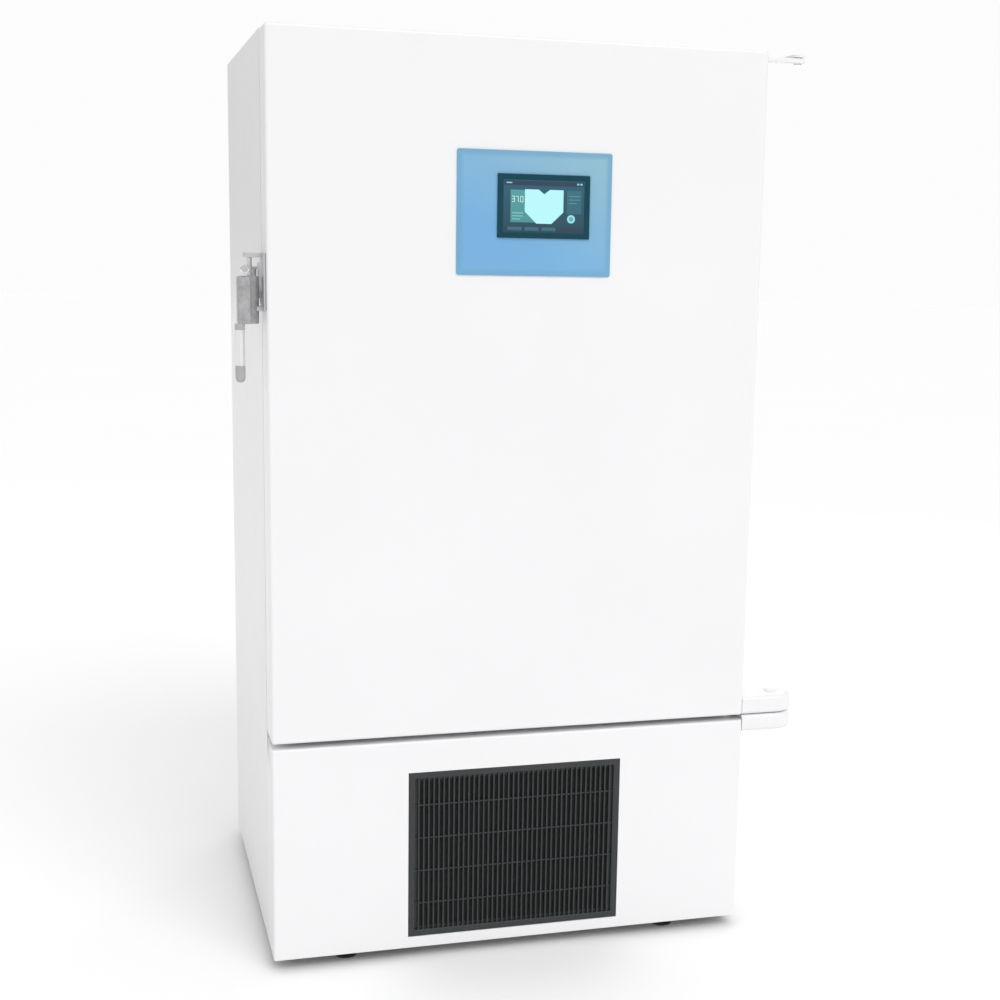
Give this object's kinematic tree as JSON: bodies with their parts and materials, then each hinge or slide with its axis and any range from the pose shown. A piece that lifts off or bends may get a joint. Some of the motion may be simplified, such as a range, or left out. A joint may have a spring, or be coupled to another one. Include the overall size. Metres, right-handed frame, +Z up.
{
  "type": "laboratory incubator",
  "caption": "Tall white refrigerated laboratory incubator with an insulated door, touch-screen panel, side latch, shelved steel chamber and a grilled machine compartment below.",
  "frame": {"origin": "on the floor, at the centre of the whole outline from the latch grip to the lower hinge", "axes": "+Z up; the door faces -Y; the hinges are at +X and the latch at -X"},
  "size_m": [1.2429, 0.8742, 1.95],
  "materials": {
    "white_paint": "satin",
    "white_plastic": "satin",
    "stainless": "satin",
    "foam": "matte",
    "filter_foam": "matte",
    "frame_paint": "matte",
    "aluminium_fins": "satin",
    "heater_steel": "matte",
    "motor_black": "satin",
    "fan_plastic": "matte",
    "lamp_plastic": "gloss",
    "port_plastic": "matte",
    "silicone": "matte",
    "latch_metal": "satin",
    "grip_metal": "satin",
    "lock_chrome": "polished",
    "compressor_black": "satin",
    "copper": "satin",
    "black_plastic": "matte",
    "switch_red": "gloss",
    "zinc_steel": "satin",
    "wheel_rubber": "matte",
    "grille_plastic": "matte",
    "gasket_rubber": "matte",
    "panel_blue": "satin",
    "screen_glass": "gloss",
    "clear_glass": "gloss"
  },
  "bodies": {
    "cabinet": {"left_side_panel": "white_paint", "right_side_panel": "white_paint", "top_panel": "white_paint", "back_panel": "white_paint", "machine_cover": "white_paint", "plinth_shell": "white_paint", "base_frame": "frame_paint", "insulation": "foam", "front_frame": "white_plastic", "chamber_liner": "stainless", "shelf_uprights": "stainless", "shelf_1": "stainless", "shelf_2": "stainless", "shelf_3": "stainless", "air_duct": "stainless", "evaporator": "aluminium_fins", "heater_element": "heater_steel", "circulation_motor": "motor_black", "temp_probe": "stainless", "chamber_lamp": "lamp_plastic", "access_port": "port_plastic", "hinge_brackets": "white_paint", "latch_keeper": "zinc_steel", "compressor": "compressor_black", "condenser": "aluminium_fins", "fan_shroud": "frame_paint", "condenser_motor": "motor_black", "refrigerant_lines": "copper", "control_box": "frame_paint", "power_inlet": "black_plastic", "rear_caster_forks": "zinc_steel"},
    "outer_door": {"door_skin": "white_paint", "door_foam": "foam", "door_liner": "white_plastic", "door_gasket": "gasket_rubber", "door_hinge_arms": "white_paint", "control_panel": "panel_blue", "screen_bezel": "black_plastic", "touch_screen": "screen_glass", "latch_base": "zinc_steel"},
    "latch": {"latch_lever": "latch_metal", "latch_grip": "grip_metal"},
    "key_lock": {"key_lock": "lock_chrome"},
    "inner_door": {"inner_door_frame": "stainless", "inner_door_glass": "clear_glass"},
    "inner_knob": {"inner_door_knob": "black_plastic"},
    "circulation_fan": {"circulation_fan": "fan_plastic"},
    "condenser_fan": {"condenser_fan": "fan_plastic"},
    "access_plug": {"access_plug": "silicone"},
    "power_switch": {"power_switch": "switch_red"},
    "caster_front_left": {"caster_fork_left": "zinc_steel"},
    "caster_front_right": {"caster_fork_right": "zinc_steel"},
    "wheel_front_left": {"caster_wheel_front_left": "wheel_rubber"},
    "wheel_front_right": {"caster_wheel_front_right": "wheel_rubber"},
    "wheel_rear_left": {"caster_wheel_rear_left": "wheel_rubber"},
    "wheel_rear_right": {"caster_wheel_rear_right": "wheel_rubber"},
    "foot_left": {"levelling_foot_left": "zinc_steel"},
    "foot_right": {"levelling_foot_right": "zinc_steel"},
    "grille": {"grille": "grille_plastic", "grille_filter": "filter_foam"}
  },
  "joints": [
    {"name": "outer_door_hinge", "type": "hinge", "parent": "cabinet", "child": "outer_door", "pos_m": [0.5775, -0.3865, 1.2], "axis": [0, 0, 1], "range_deg": [0, 115]},
    {"name": "latch_turn", "type": "hinge", "parent": "outer_door", "child": "latch", "pos_m": [-0.5865, -0.3725, 1.45], "axis": [0, 0, 1], "range_deg": [0, 38]},
    {"name": "key_turn", "type": "hinge", "parent": "latch", "child": "key_lock", "pos_m": [-0.5985, -0.405, 1.478], "axis": [0, 1, 0], "range_deg": [0, 90]},
    {"name": "inner_door_hinge", "type": "hinge", "parent": "cabinet", "child": "inner_door", "pos_m": [0.3885, -0.2855, 1.2], "axis": [0, 0, 1], "range_deg": [0, 90]},
    {"name": "inner_knob_turn", "type": "hinge", "parent": "inner_door", "child": "inner_knob", "pos_m": [-0.4485, -0.2855, 1.2], "axis": [0, -1, 0], "range_deg": [0, 90]},
    {"name": "circulation_fan_spin", "type": "hinge", "parent": "cabinet", "child": "circulation_fan", "pos_m": [-0.0335, 0.3075, 1.72], "axis": [0, 1, 0], "continuous": true},
    {"name": "condenser_fan_spin", "type": "hinge", "parent": "cabinet", "child": "condenser_fan", "pos_m": [-0.0335, -0.3425, 0.29], "axis": [0, 1, 0], "continuous": true},
    {"name": "access_plug_pull", "type": "slide", "parent": "cabinet", "child": "access_plug", "axis": [1, 0, 0], "range_m": [0, 0.08]},
    {"name": "power_switch_rock", "type": "hinge", "parent": "cabinet", "child": "power_switch", "pos_m": [-0.3295, 0.425, 0.3], "axis": [1, 0, 0], "range_deg": [0, 12]},
    {"name": "caster_left_swivel", "type": "hinge", "parent": "cabinet", "child": "caster_front_left", "pos_m": [-0.4885, -0.3475, 0.08], "axis": [0, 0, 1], "continuous": true},
    {"name": "caster_right_swivel", "type": "hinge", "parent": "cabinet", "child": "caster_front_right", "pos_m": [0.4215, -0.3475, 0.08], "axis": [0, 0, 1], "continuous": true},
    {"name": "wheel_front_left_spin", "type": "hinge", "parent": "caster_front_left", "child": "wheel_front_left", "pos_m": [-0.4885, -0.3275, 0.032], "axis": [1, 0, 0], "continuous": true},
    {"name": "wheel_front_right_spin", "type": "hinge", "parent": "caster_front_right", "child": "wheel_front_right", "pos_m": [0.4215, -0.3275, 0.032], "axis": [1, 0, 0], "continuous": true},
    {"name": "wheel_rear_left_spin", "type": "hinge", "parent": "cabinet", "child": "wheel_rear_left", "pos_m": [-0.4885, 0.3625, 0.032], "axis": [1, 0, 0], "continuous": true},
    {"name": "wheel_rear_right_spin", "type": "hinge", "parent": "cabinet", "child": "wheel_rear_right", "pos_m": [0.4215, 0.3625, 0.032], "axis": [1, 0, 0], "continuous": true},
    {"name": "foot_left_turn", "type": "hinge", "parent": "cabinet", "child": "foot_left", "pos_m": [-0.3985, -0.3775, 0.05], "axis": [0, 0, 1], "continuous": true},
    {"name": "foot_right_turn", "type": "hinge", "parent": "cabinet", "child": "foot_right", "pos_m": [0.3315, -0.3775, 0.05], "axis": [0, 0, 1], "continuous": true},
    {"name": "grille_pull", "type": "slide", "parent": "cabinet", "child": "grille", "axis": [0, -1, 0], "range_m": [0, 0.06]}
  ],
  "couplings": [
    {"joint": "inner_door_hinge", "follows": "outer_door_hinge", "ratio": 0.78}
  ]
}
